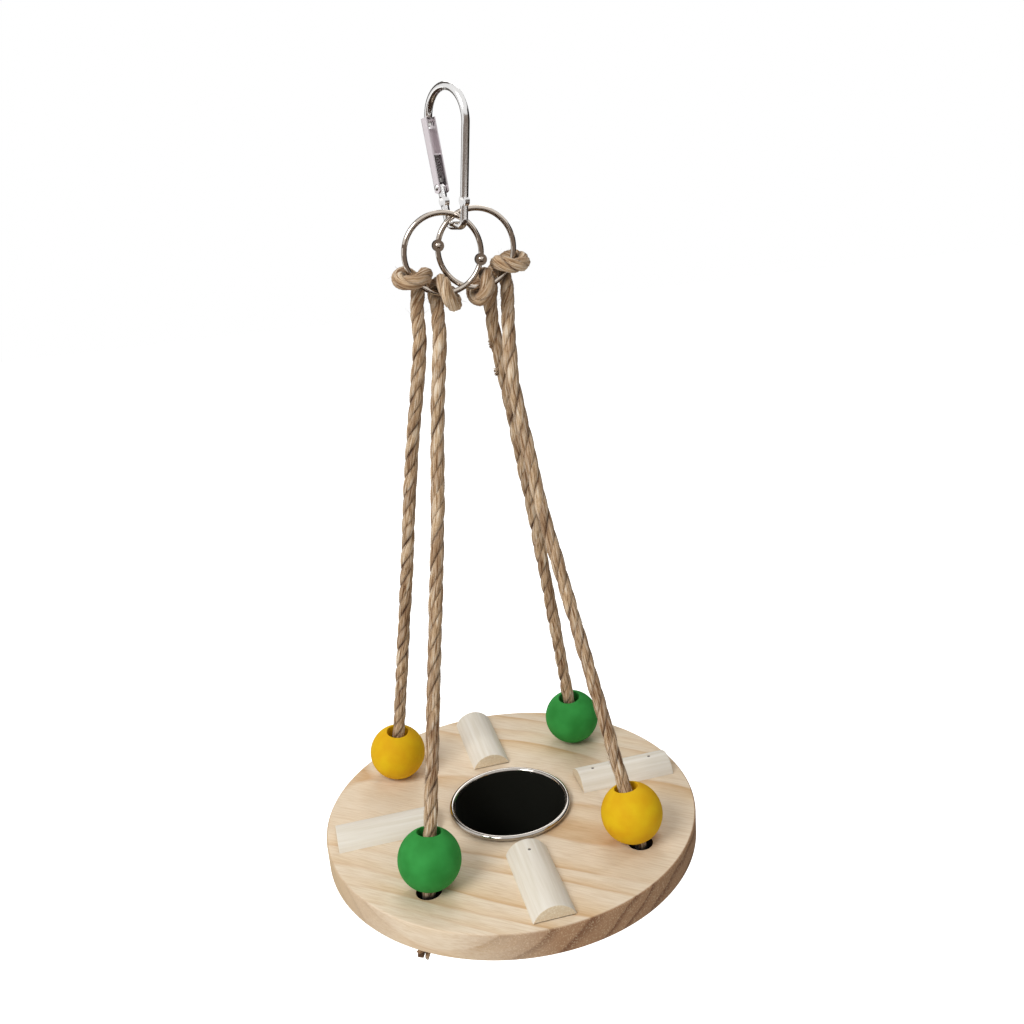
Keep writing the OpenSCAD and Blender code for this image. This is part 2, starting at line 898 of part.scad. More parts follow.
hook_frame();
gate_rivet();
hook_gate();
gate_spring();
gate_pusher();
left_ring_lower();
left_ring_upper();
left_ring_pin();
right_ring_lower();
right_ring_upper();
right_ring_pin();
left_rope();
right_rope();
knot_back_left();
knot_front_left();
knot_back_right();
knot_front_right();
bead_back_left();
bead_front_left();
bead_back_right();
bead_front_right();
platform();
cup();
perch_right();
perch_back();
perch_left();
perch_front();
perch_nails();
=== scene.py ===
# Hanging bird swing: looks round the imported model.
# Sizes in the dictionaries are millimetres in the model's frame; Blender gets metres.
import math
import random

import bpy
import numpy as np
from mathutils import Matrix, Vector


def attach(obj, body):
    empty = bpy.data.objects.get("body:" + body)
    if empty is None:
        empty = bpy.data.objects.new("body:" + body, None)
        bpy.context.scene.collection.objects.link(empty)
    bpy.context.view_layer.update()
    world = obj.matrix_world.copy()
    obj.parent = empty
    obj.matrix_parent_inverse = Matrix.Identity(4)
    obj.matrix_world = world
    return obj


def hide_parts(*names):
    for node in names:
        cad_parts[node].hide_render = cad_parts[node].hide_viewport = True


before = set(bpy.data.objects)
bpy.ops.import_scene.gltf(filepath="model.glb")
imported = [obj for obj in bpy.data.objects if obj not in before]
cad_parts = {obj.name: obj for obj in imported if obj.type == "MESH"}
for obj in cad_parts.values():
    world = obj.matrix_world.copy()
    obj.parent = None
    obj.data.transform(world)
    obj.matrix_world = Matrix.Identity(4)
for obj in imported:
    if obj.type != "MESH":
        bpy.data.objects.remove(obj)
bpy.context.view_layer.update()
bpy.ops.object.select_all(action="DESELECT")
scene = bpy.context.scene
scene.view_settings.view_transform = "Standard"

# Camera at the photograph's place
camera = {
    "place": (-74.363, -381.86, -24.609),
    "right": (0.96627, -0.24521, -0.07869),
    "up": (0.15142, 0.29385, 0.94378),
    "lens": 36.44,
    "sensor": 36,
}


def metres(*values):
    return Vector([v / 1000 for v in values])


def placeCamera():
    data = bpy.data.cameras.new("camera")
    data.lens = camera["lens"]
    data.sensor_width = camera["sensor"]
    data.sensor_fit = "HORIZONTAL"
    data.clip_start = 0.01
    thing = bpy.data.objects.new("camera", data)
    scene.collection.objects.link(thing)
    right = Vector(camera["right"]).normalized()
    back = right.cross(Vector(camera["up"])).normalized()
    up = back.cross(right)
    turn = Matrix((right, up, back)).transposed().to_4x4()
    thing.matrix_world = Matrix.Translation(metres(*camera["place"])) @ turn
    scene.camera = thing


placeCamera()
print("camera placed")


# One colour function and one node function for all materials
def tint(code):
    # a hex colour as linear red, green, blue and a full alpha
    parts = [int(code[i : i + 2], 16) / 255 for i in (1, 3, 5)]
    return tuple(p / 12.92 if p <= 0.04045 else ((p + 0.055) / 1.055) ** 2.4 for p in parts) + (1.0,)


def addNode(material, kind, settings=None, links=None):
    # a link's source may be a node, which stands for its first output
    node = material.node_tree.nodes.new("ShaderNode" + kind)
    for name, value in (settings or {}).items():
        if isinstance(name, int) or name in node.inputs:
            node.inputs[name].default_value = value
        else:
            setattr(node, name, value)
    for name, source in (links or {}).items():
        if isinstance(source, bpy.types.Node):
            source = source.outputs[0]
        material.node_tree.links.new(source, node.inputs[name])
    return node


def newMaterial(name):
    material = bpy.data.materials.new(name)
    material.use_nodes = True
    material.node_tree.nodes.clear()
    return material


def rampStops(node, stops):
    ramp = node.color_ramp
    while len(ramp.elements) < len(stops):
        ramp.elements.new(0.5)
    for element, (place, code) in zip(ramp.elements, stops):
        element.position = place
        element.color = tint(code)
    return node


def finishSurface(material, surface):
    addNode(material, "OutputMaterial", links={"Surface": surface})
    return material


# Modelling helpers: the piece in hand is always the active one, in object mode
slack = 0.01  # millimetres within which a point counts as on a plane


def selectNone():
    bpy.ops.object.select_all(action="DESELECT")


def settle(name=None):
    bpy.ops.object.transform_apply(location=True, rotation=True, scale=True)
    piece = bpy.context.object
    if name:
        piece.name = name
        piece.data.name = name
    return piece


def hold(piece):
    selectNone()
    piece.select_set(True)
    bpy.context.view_layer.objects.active = piece


def pick(piece, kind, test):
    # leaves the piece in edit mode with only the vertices, edges or faces that pass the test
    hold(piece)
    bpy.ops.object.mode_set(mode="EDIT")
    bpy.ops.mesh.select_mode(type=kind)
    bpy.ops.mesh.select_all(action="DESELECT")
    bpy.ops.object.mode_set(mode="OBJECT")
    mesh = piece.data
    if kind == "FACE":
        for face in mesh.polygons:
            face.select = bool(test(face.center * 1000, face.normal))
    elif kind == "EDGE":
        for edge in mesh.edges:
            a, b = (mesh.vertices[i].co * 1000 for i in edge.vertices)
            edge.select = bool(test(a, b))
    else:
        for vertex in mesh.vertices:
            vertex.select = bool(test(vertex.co * 1000))
    bpy.ops.object.mode_set(mode="EDIT")


def editAll():
    bpy.ops.object.mode_set(mode="EDIT")
    bpy.ops.mesh.select_all(action="SELECT")


def objectMode():
    bpy.ops.object.mode_set(mode="OBJECT")


def useModifiers(piece):
    hold(piece)
    for modifier in list(piece.modifiers):
        bpy.ops.object.modifier_apply(modifier=modifier.name)


def cutWith(piece, cutters):
    for cutter in cutters:
        modifier = piece.modifiers.new("cut", "BOOLEAN")
        modifier.operation = "DIFFERENCE"
        modifier.solver = "EXACT"
        modifier.object = cutter
    useModifiers(piece)
    for cutter in cutters:
        bpy.data.objects.remove(cutter)


def addCylinder(radius, depth, middle, sides, **more):
    selectNone()
    bpy.ops.mesh.primitive_cylinder_add(
        vertices=sides, radius=radius / 1000, depth=depth / 1000, location=metres(*middle), **more
    )


def drill(x, y, z, radius, depth, sides):
    addCylinder(radius, depth, (x, y, z), sides)
    return settle("drill")


def copyOf(first):
    copy = first.copy()
    copy.data = first.data.copy()
    scene.collection.objects.link(copy)
    return copy


def joinTo(piece, other):
    hold(piece)
    other.select_set(True)
    bpy.ops.object.join()


def smoothBelow(degrees):
    bpy.ops.object.shade_smooth_by_angle(angle=math.radians(degrees))


def dress(piece, body, slotName, materials, *nodes):
    for material in materials:
        piece.data.materials.append(material)
    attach(piece, body)
    if nodes:
        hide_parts(*nodes)


# Twisted jute: matt brown bast fibre, paler where loose fibres catch the light; the dark between the
# strands is painted shade, as is the near black in the board's holes and beside the ring's wire
jute = {
    "dark": "#7e5a3a",
    "base": "#d0b18c",
    "light": "#eedfc9",
    # colour of the painted shade between the strands
    "grooveShade": "#4a2911",
    # colour of the painted shade in the board's holes and beside the ring's wire
    "deepShade": "#1d140d",
    "patch": "#9c7d60",
    "fibreWidth": 0.55,
    "fibreStretch": 11,
    "patchWidth": 3.4,
}


def makeJuteRope():
    material = newMaterial("twistedJute")
    along = addNode(material, "Attribute", {"attribute_name": "fibrePlace"})
    fibres = addNode(
        material,
        "TexNoise",
        {"Scale": 1 / jute["fibreWidth"], "Detail": 4.0, "Roughness": 0.65},
        {"Vector": along.outputs["Vector"]},
    )
    patches = addNode(
        material,
        "TexNoise",
        {"Scale": 1 / jute["patchWidth"], "Detail": 2.0},
        {"Vector": along.outputs["Vector"]},
    )
    streaks = rampStops(
        addNode(material, "ValToRGB", links={"Fac": fibres}),
        [(0.36, jute["dark"]), (0.5, jute["base"]), (0.64, jute["light"])],
    )
    tones = rampStops(
        addNode(material, "ValToRGB", links={"Fac": patches}), [(0.36, jute["patch"]), (0.6, "#ffffff")]
    )
    toned = addNode(
        material, "Mix", {"data_type": "RGBA", "blend_type": "MULTIPLY", 0: 0.55}, {6: streaks, 7: tones}
    )
    whole = toned
    # painted shade laid over the fibres: first between the strands, then in the board's holes and beside
    # the ring's wire
    for name in ("grooveShade", "deepShade"):
        share = addNode(material, "Attribute", {"attribute_name": name})
        links = {0: share.outputs["Fac"], 6: whole.outputs[2]}
        whole = addNode(material, "Mix", {"data_type": "RGBA", 7: tint(jute[name])}, links)
    bump = addNode(material, "Bump", {"Strength": 0.9, "Distance": 0.0005}, {"Height": fibres})
    surface = addNode(
        material,
        "BsdfPrincipled",
        {"Roughness": 0.95, "Specular IOR Level": 0.15, "Sheen Weight": 0.1, "Sheen Roughness": 0.5},
        {"Base Color": whole.outputs[2], "Normal": bump},
    )
    return finishSurface(material, surface)


# The two ropes: each runs from a knot through the board, up to a hitch on its ring and down again
rope = {
    "diameter": 5.6,
    "strands": 3,
    "lay": 25,  # millimetres for one turn of a strand
    "hitchLay": 15,  # the same in the hitches, which are wound tighter
    "hitchFrom": (-88, -78),  # heights between which the one becomes the other
    # the grooves' painted shade: none beyond grooveDepth from the rope's middle, full grooveSoft further
    # in
    "grooveDepth": 2.68,
    "grooveSoft": 0.6,
    # how strongly the grooves' painted shade shows along the rope: its mean, its change, and the
    # millimetres to a radian of it
    "shadeVary": (0.7, 0.5, 2.3, 5.9),
    "strandOut": 1.36,
    "strandHigh": 1.36,
    "strandWide": 1.8,
    "strandSides": 24,
    "yarns": 7,
    "yarnDepth": 0.06,
    "yarnLay": 17,
    # uneven laying: size of each sway, and the millimetres to a radian of it
    "turnSway": [(0.13, 8.3), (0.08, 3.9)],
    "reachSway": [(0.07, 6.1)],
    "swell": [(0.05, 3.1), (0.04, 7.3)],
    "fibreRound": 1.6,
    "strandApart": 37,
    # a cut end opens over its last millimetres, and its strands thin by this share
    "flareOver": 4,
    "flareThin": 0.35,
    "aside": (0.31, 0.95, 0.05),  # no rope runs this way, so the first side is square to it
    "step": 0.9,
    "fineStep": 0.2,
    # the rope's painted shade inside the board's holes: from holeAbove over the top down to the
    # underside, fading over holeSoft
    "holeTop": -291.5,
    "holeLow": -303.5,
    "holeAbove": 0.6,
    "holeSoft": 1.5,
    # the painted shade beside the ring's wire: its reach, how softly it ends, and its strength
    "wireShade": (3.3, 1.6, 0.85),
    "ringRadius": 14.2,
    "leftRing": (-6.151, -1.3, -54.769),
    "rightRing": (6.772, 1.3, -54.318),
    "leftTurn": 28,
    "rightTurn": -34,
    "backLeft": [
        (-43.8, 43.8, -303), (-43.8, 43.8, -291), (-40, 38.5, -261), (-36, 33.1, -231),
        (-32.2, 27.8, -201), (-29, 23.3, -176), (-26, 19.1, -151), (-22.6, 14.2, -126),
        (-19.6, 9.8, -106), (-16.9, 6, -86), (-17, 3.6, -74),
    ],
    "frontLeft": [
        (-43.8, -43.8, -303), (-43.8, -43.8, -291), (-38.8, -37, -261), (-33.6, -30, -231),
        (-28.4, -23, -201), (-24.2, -17.3, -176), (-20, -12, -151), (-16.6, -7.4, -126),
        (-13.6, -3.2, -106), (-10.2, 1, -86), (-9.6, 2.6, -74.2),
    ],
    "backRight": [
        (43.8, 43.8, -303), (43.8, 43.8, -291), (39.6, 39, -261), (35.4, 34.2, -231),
        (31.2, 29.4, -201), (27.6, 25.4, -176), (23.6, 21, -151), (19.6, 16.6, -126),
        (15.7, 13, -102), (12.9, 10.6, -86), (11.9, 8.2, -76),
    ],
    "frontRight": [
        (43.8, -43.8, -303), (43.8, -43.8, -291), (39, -35.8, -261), (34.2, -27.8, -231),
        (29.4, -19.8, -201), (25.4, -13.2, -176), (21.6, -7, -151), (18.9, -2.4, -126),
        (16.4, 0.4, -104), (16.8, 2.4, -86), (17.6, 3.8, -76), (18, 4.8, -68),
    ],
    # half of the hitch: along the wire, into the ring, back from it; the other half mirrors it
    "hitchHalf": [
        (-3.2, 0, 4.2), (-4, 3.2, 3), (-4.6, 4.3, 0), (-5.3, 3, -3.1),
        (-6.3, 0, -4.3), (-7.8, -3.1, -3), (-8.9, -4.4, 0.2), (-9.6, -3.4, 3.8),
        (-9.2, -1, 7.6), (-6, 0.8, 10.2),
    ],
    "hitchMiddle": (0, 1.4, 10.6),
}


def hitchPoints(centre, turn):
    half = rope["hitchHalf"]
    places = half + [rope["hitchMiddle"]] + [(-a, b, c) for a, b, c in reversed(half)]
    points = []
    for along, inward, back in places:
        angle = math.radians(turn) - along / rope["ringRadius"]
        reach = rope["ringRadius"] - inward
        x, z = centre[0] - reach * math.sin(angle), centre[2] - reach * math.cos(angle)
        points.append((x, centre[1] + back, z))
    return points


def smoothLine(points, step):
    # a smooth line through the points, then even steps along it
    pts = [Vector(p) for p in points]
    last = len(pts) - 1
    heading = [(pts[min(i + 1, last)] - pts[max(i - 1, 0)]).normalized() for i in range(len(pts))]
    fine = []
    for i in range(last):
        a, b = pts[i], pts[i + 1]
        size = (b - a).length
        count = max(8, int(size / rope["fineStep"]))
        for k in range(count):
            t = k / count
            fine.append(
                (2 * t**3 - 3 * t**2 + 1) * a
                + (t**3 - 2 * t**2 + t) * size * heading[i]
                + (3 * t**2 - 2 * t**3) * b
                + (t**3 - t**2) * size * heading[i + 1]
            )
    fine.append(pts[-1])
    raw = np.array([tuple(p) for p in fine])
    reach = np.concatenate([[0], np.cumsum(np.linalg.norm(np.diff(raw, axis=0), axis=1))])
    marks = np.linspace(0, reach[-1], max(2, int(round(reach[-1] / step)) + 1))
    return np.stack([np.interp(marks, reach, raw[:, k]) for k in range(3)], axis=1), reach[-1]


def lineFrames(line):
    # tangent and two side directions that don't turn about the line
    tangents = np.gradient(line, axis=0)
    tangents /= np.linalg.norm(tangents, axis=1)[:, None]
    start = np.cross(tangents[0], rope["aside"])
    sides = [start / np.linalg.norm(start)]
    for i in range(1, len(line)):
        side = sides[-1] - np.dot(sides[-1], tangents[i]) * tangents[i]
        sides.append(side / np.linalg.norm(side))
    sides = np.array(sides)
    return tangents, sides, np.cross(tangents, sides)


def tubeFaces(base, rounds, sides):
    # walls and both ends of a tube whose points are numbered round by round from base
    faces = []
    for i in range(rounds - 1):
        for k in range(sides):
            a, b = base + i * sides + k, base + i * sides + (k + 1) % sides
            faces.append((a, b, b + sides, a + sides))
    last = base + (rounds - 1) * sides
    ends = [tuple(base + k for k in reversed(range(sides))), tuple(last + k for k in range(sides))]
    return faces + ends


def meshPiece(name, points, faces):
    mesh = bpy.data.meshes.new(name)
    mesh.from_pydata([tuple(p / 1000) for p in points], [], faces)
    mesh.update()
    piece = bpy.data.objects.new(name, mesh)
    scene.collection.objects.link(piece)
    return piece


def addAttribute(mesh, name, values):
    kind, field = ("FLOAT_VECTOR", "vector") if values.ndim == 2 else ("FLOAT", "value")
    mesh.attributes.new(name, kind, "POINT").data.foreach_set(field, values.ravel())


def nearWire(points, centre):
    # painted shade: most where the hitch lies on the ring's wire, 0 on its outside
    reach, soft, most = rope["wireShade"]
    out = np.hypot(points[:, 0] - centre[0], points[:, 2] - centre[2]) - rope["ringRadius"]
    return most * np.clip((reach - np.hypot(out, points[:, 1] - centre[1])) / soft, 0, 1)


def sway(along, parts, phases):
    return sum(size * np.sin(along / pace + phase) for (size, pace), phase in zip(parts, phases))


def twistedRope(name, line, seed, flare=0.0):
    # each strand is squashed against its neighbours and ribbed by its yarns, which turn the other way
    chance = random.Random(seed)
    tangents, sides, ups = lineFrames(line)
    count, around = len(line), rope["strandSides"]
    along = np.concatenate([[0], np.cumsum(np.linalg.norm(np.diff(line, axis=0), axis=1))])
    opened = np.clip(1 - (along[-1] - along) / rope["flareOver"], 0, 1) * (1 if flare else 0)
    inHitch = np.interp(line[:, 2], rope["hitchFrom"], (0, 1))
    lay = rope["lay"] + (rope["hitchLay"] - rope["lay"]) * inHitch
    turned = np.concatenate([[0], np.cumsum(np.diff(along) / lay[1:])])
    angles = 2 * math.pi * np.arange(around) / around
    points, faces, place, grooveShade = [], [], [], []
    for strand in range(rope["strands"]):
        phase = [chance.uniform(0, 6.28) for _ in range(5)]
        turn = 2 * math.pi * (turned + strand / rope["strands"])
        turn += sway(along, rope["turnSway"], phase)
        out = np.cos(turn)[:, None] * sides + np.sin(turn)[:, None] * ups
        onward = np.cos(turn)[:, None] * ups - np.sin(turn)[:, None] * sides
        slope = np.arctan(2 * math.pi * rope["strandOut"] / lay)[:, None]
        across = np.cos(slope) * onward - np.sin(slope) * tangents
        reach = rope["strandOut"] + sway(along, rope["reachSway"], phase[2:]) + flare * opened**2
        swell = (1 + sway(along, rope["swell"], phase[3:])) * (1 - rope["flareThin"] * opened)
        drift = angles[None, :] + 2 * math.pi * along[:, None] / rope["yarnLay"]
        rib = swell[:, None] * (1 + rope["yarnDepth"] * np.cos(rope["yarns"] * drift + phase[0]))
        high = (rib * rope["strandHigh"] * np.cos(angles))[..., None] * out[:, None, :]
        wide = (rib * rope["strandWide"] * np.sin(angles))[..., None] * across[:, None, :]
        grid = (line + reach[:, None] * out)[:, None, :] + high + wide
        depth = np.linalg.norm(grid - line[:, None, :], axis=2)
        base = len(points) * count * around
        points.append(grid.reshape(-1, 3))
        far = along[:, None] / jute["fibreStretch"] + strand * rope["strandApart"] + 0 * drift
        spot = [rope["fibreRound"] * np.cos(drift), rope["fibreRound"] * np.sin(drift), far]
        place.append(np.stack(spot, axis=2).reshape(-1, 3))
        # painted shade in the grooves: darker where the surface lies deeper, stronger in some stretches
        # than in others
        mean, change, quick, slow = rope["shadeVary"]
        shadeVary = mean + change * np.sin(along / quick + phase[1]) * np.sin(along / slow + phase[2])
        dark = np.clip((rope["grooveDepth"] - depth) / rope["grooveSoft"], 0, 1) * shadeVary[:, None]
        grooveShade.append(np.clip(dark, 0, 1).ravel())
        faces += tubeFaces(base, count, around)
    points = np.concatenate(points)
    piece = meshPiece(name, points, faces)
    # painted shade on the rope inside the board's holes and where it lies on the ring's wire
    deepShade = np.clip((rope["holeTop"] + rope["holeAbove"] - points[:, 2]) / rope["holeSoft"], 0, 1)
    deepShade *= np.clip((points[:, 2] - rope["holeLow"]) / rope["holeSoft"], 0, 1)
    for ring in ("leftRing", "rightRing"):
        deepShade = np.maximum(deepShade, nearWire(points, rope[ring]))
    addAttribute(piece.data, "fibrePlace", np.concatenate(place))
    addAttribute(piece.data, "grooveShade", np.concatenate(grooveShade))
    addAttribute(piece.data, "deepShade", deepShade)
    piece.data.shade_smooth()
    return piece


# Loose fibres: a short fuzz all over, a few long strays, and the tufts where a yarn's cut end shows
hairs = {
    "fuzz": {"count": 2300, "length": (0.8, 2.6), "lift": (0.1, 0.6), "thick": 0.05},
    "stray": {"count": 170, "length": (2, 7), "lift": (0.5, 2.6), "thick": 0.05},
    "clear": 4,
    "root": 2.45,
    "lean": (0.35, 1.0),
    "curl": (-0.5, 0.5),
    "arch": (1.2, 1.9),
    "sunk": 0.15,
    "taper": 0.75,
    # below this height a bead slides over them, so they are short and lie close
    "beadTravel": -155,
    "beadLength": 4,
    "beadReach": 1.3,
    "lowest": -288,
    "sides": 3,
    "sideShift": 0.2,  # of the jute's pattern from one side to the next
    "steps": 4,
    # the fibres of a tuft: where they root, how far they spread and slide, their share of the lift
    "tuftRoot": 2.2,
    "tuftSpread": (-0.3, 0.3),
    "tuftSlide": (-0.6, 0.6),
    "tuftLift": (0.6, 1),
}
# where a tuft stands, its direction, how many fibres, how far they lift, how long they run, how thick
tufts = {
    "left": [
        ((-38.2, -36.2, -257), (0.9, -0.2, 0.3), 12, 1.6, (1, 4), 0.05),
        ((-36.5, -34, -248), (-0.9, -0.2, 0.3), 12, 1.6, (1, 4), 0.05),
    ],
    "right": [
        ((13.9, 11.4, -91), (-0.9, -0.3, 0.2), 46, 1.5, (0.2, 1), 0.3),
        ((15.7, 13, -102), (-0.9, -0.3, -0.1), 60, 1.9, (0.2, 1.2), 0.3),
        ((29.4, -19.8, -201), (0.95, -0.2, 0.1), 16, 1.2, (0.3, 1.5), 0.07),
        ((37, -32.4, -248), (-0.9, -0.2, 0.1), 16, 2.1, (1, 6), 0.05),
        ((38.2, -34.4, -256), (-0.9, -0.2, -0.1), 12, 2.1, (1, 5), 0.05),
    ],
}


def strayHairs(name, roots, seed):
    chance = random.Random(seed)
    points, faces, place = [], [], []
    steps, sides = hairs["steps"], hairs["sides"]
    for root, out, tangent, length, lift, thick in roots:
        side = np.cross(tangent, out)
        lean = chance.choice((-1, 1)) * chance.uniform(*hairs["lean"])
        curl = chance.uniform(*hairs["curl"])
        arch = chance.uniform(*hairs["arch"])
        base = len(points)
        for i in range(steps + 1):
            t = i / steps
            rise = lift * math.sin(t * arch) - hairs["sunk"]
            centre = root + out * rise + length * t * (tangent * lean + side * (curl * t))
            size = thick * (1 - hairs["taper"] * t)
            for k in range(sides):
                angle = 2 * math.pi * k / sides
                points.append(centre + size * (math.cos(angle) * side + math.sin(angle) * tangent))
                place.append((k * hairs["sideShift"], root[0], t + root[2]))
        faces += tubeFaces(base, steps + 1, sides)
    piece = meshPiece(name, points, faces)
    addAttribute(piece.data, "fibrePlace", np.array(place))
    piece.data.shade_smooth()
    return piece


def hairRoots(line, seed, tuftList):
    chance = random.Random(seed)
    tangents, sides, ups = lineFrames(line)
    roots = []
    for kind in ("fuzz", "stray"):
        for _ in range(hairs[kind]["count"]):
            i = chance.randrange(hairs["clear"], len(line) - hairs["clear"])
            angle = chance.uniform(0, 2 * math.pi)
            out = math.cos(angle) * sides[i] + math.sin(angle) * ups[i]
            length = chance.uniform(*hairs[kind]["length"])
            lift = chance.uniform(*hairs[kind]["lift"])
            if line[i][2] < hairs["beadTravel"]:
                length, lift = min(length, hairs["beadLength"]), min(lift, hairs["beadReach"])
            if line[i][2] > hairs["lowest"]:
                root = line[i] + hairs["root"] * out
                roots.append((root, out, tangents[i], length, lift, hairs[kind]["thick"]))
    for place, reach, count, lift, length, thick in tuftList:
        i = int(np.argmin(np.linalg.norm(line - np.array(place), axis=1)))
        for _ in range(count):
            j = i + chance.randint(-1, 1)
            out = np.array(reach) + np.array([chance.uniform(*hairs["tuftSpread"]) for _ in range(3)])
            out -= np.dot(out, tangents[j]) * tangents[j]
            out /= np.linalg.norm(out)
            root = line[j] + chance.uniform(*hairs["tuftSlide"]) * tangents[j] + hairs["tuftRoot"] * out
            long, high = chance.uniform(*length), lift * chance.uniform(*hairs["tuftLift"])
            roots.append((root, out, tangents[j], long, high, thick))
    return roots


# Stopper knots under the board: the rope's end wraps about one and a third times round itself
knot = {
    "wrapRadius": 4.15,
    "top": -303.0,
    "neck": 1.2,
    "wrapFrom": -306.4,
    "wrapTo": -310.6,
    "turns": 1.3,
    "steps": 14,
    # the wrap starts and ends at this share of its radius, and opens at this rate
    "opens": (0.55, 3),
    "tailDrop": 2.2,
    "tailShare": 0.35,
    "tail": -315.6,
    "flare": 0.9,
    "coreTop": -303.2,
    "coreLow": -312.6,
    # node, start of the wrap in degrees, and how far the tail leans out
    "ends": {
        "backLeft": ("knot_back_left", 40, (-2, 3)),
        "frontLeft": ("knot_front_left", 200, (-6.4, -6.4)),
        "backRight": ("knot_back_right", 40, (3, 1)),
        "frontRight": ("knot_front_right", 200, (3, -3)),
    },
}


def knotLine(x, y, start, lean):
    points = [(x, y, knot["top"]), (x, y, knot["top"] - knot["neck"])]
    least, rate = knot["opens"]
    for i in range(knot["steps"] + 1):
        share = i / knot["steps"]
        angle = math.radians(start) + 2 * math.pi * knot["turns"] * share
        radius = knot["wrapRadius"] * min(1, least + rate * share, least + rate * (1 - share))
        z = knot["wrapFrom"] + (knot["wrapTo"] - knot["wrapFrom"]) * share
        points.append((x + radius * math.cos(angle), y + radius * math.sin(angle), z))
    for share, z in ((knot["tailShare"], knot["wrapTo"] - knot["tailDrop"]), (1, knot["tail"])):
        points.append((x + share * lean[0], y + share * lean[1], z))
    return smoothLine(points, rope["step"])[0]


juteRope = makeJuteRope()


def makeKnot(fall, seed):
    x, y = rope[fall][0][:2]
    node, start, lean = knot["ends"][fall]
    wrapName = "knot" + fall[0].upper() + fall[1:]
    wrap = twistedRope(wrapName, knotLine(x, y, start, lean), seed, knot["flare"])
    top, low = knot["coreTop"], knot["coreLow"]
    coreLine = smoothLine([(x, y, z) for z in (top, (top + low) / 2, low)], rope["step"])[0]
    joinTo(wrap, twistedRope("core", coreLine, seed + 1))
    dress(wrap, "swing", "jute", [juteRope], node)
    return wrap


def layRope(side, seed):
    back, front = "back" + side.title(), "front" + side.title()
    hitch = hitchPoints(rope[side + "Ring"], rope[side + "Turn"])
    line, length = smoothLine(rope[back] + hitch + rope[front][::-1], rope["step"])
    piece = twistedRope(side + "Rope", line, seed)
    fuzz = strayHairs(side + "RopeHairs", hairRoots(line, seed + 1, tufts[side]), seed + 2)
    dress(piece, "swing", "jute", [juteRope], side + "_rope")
    dress(fuzz, "swing", "jute", [juteRope])
    makeKnot(back, seed + 3)
    makeKnot(front, seed + 5)
    print(side, "rope", round(length), "mm")


layRope("left", 11)
layRope("right", 23)
print("ropes and knots laid")


# Pine board, flat sawn and sanded: soft warm bands that end in a thin darker line, brown porous end grain
board = {
    "radius": 80,
    "thickness": 12,
    "top": -291.5,
    "round": 0.8,
    "cupHole": 25.1,
    "ropeHole": 5,
    "ropeHoleAt": 43.84,
    "holeRound": 0.25,
    "grainTurn": -38,
    # the tree's heart under the board, the slope of the grain and the width of a year's growth
    "heart": (9, 12, 62),
    "grainSlope": 2.5,
    "ringWidth": 7,
    "pale": "#e8d6bd",
    "warm": "#e0c5a0",
    "late": "#d0aa7c",
    "end": "#a98261",
    "endDark": "#7f593f",
    "endPore": "#d8bf9c",
    # painted light on the left-hand end grain
    "endLitPale": "#dcc4a0",
    "streak": "#e9dfd0",
    # painted shade of the rope holes' walls: two near-black tones
    "drilled": ("#1c120a", "#2c1c10"),
    "drillMarks": 700,  # in a metre, so 1.4 mm apart
    "wanderBy": (0.0, 26.0, 26.0),
    # spots per millimetre along and across the grain, detail and roughness of each pattern
    "patterns": {
        "wander": ((0.006, 0.022, 0.022), 2.0, 0.5),
        "fade": ((0.012, 0.05, 0.05), 2.0, 0.5),
        "fine": ((0.08, 1.6, 1.6), 3.0, 0.6),
        "pores": ((1.5, 1.5, 1.5), 2.0, 0.7),
    },
}


def grainPlace(material, turn, centre, slope=0.0):
    # object coordinates in millimetres, turned so that X runs with the grain
    place = addNode(material, "TexCoord")
    return addNode(
        material,
        "Mapping",
        {
            "vector_type": "TEXTURE",
            "Location": [c / 1000 for c in centre],
            "Rotation": (0, math.radians(slope), math.radians(turn)),
            "Scale": (0.001, 0.001, 0.001),
        },
        {"Vector": place.outputs["Object"]},
    )


def grainNoise(material, place, patterns):
    noise = {}
    for name, (perMillimetre, detail, roughness) in patterns.items():
        stretch = {"operation": "MULTIPLY", 1: perMillimetre}
        settings = {"Scale": 1.0, "Detail": detail, "Roughness": roughness}
        stretched = addNode(material, "VectorMath", stretch, {0: place})
        noise[name] = addNode(material, "TexNoise", settings, {"Vector": stretched})
    return noise


def runOut(material, turn):
    # how squarely the grain runs out of the surface: 1 on one end, -1 on the other, 0 along the grain
    place = addNode(material, "TexCoord")
    angle = math.radians(turn)
    return addNode(
        material,
        "VectorMath",
        {"operation": "DOT_PRODUCT", 1: (math.cos(angle), math.sin(angle), 0)},
        {0: place.outputs["Normal"]},
    )


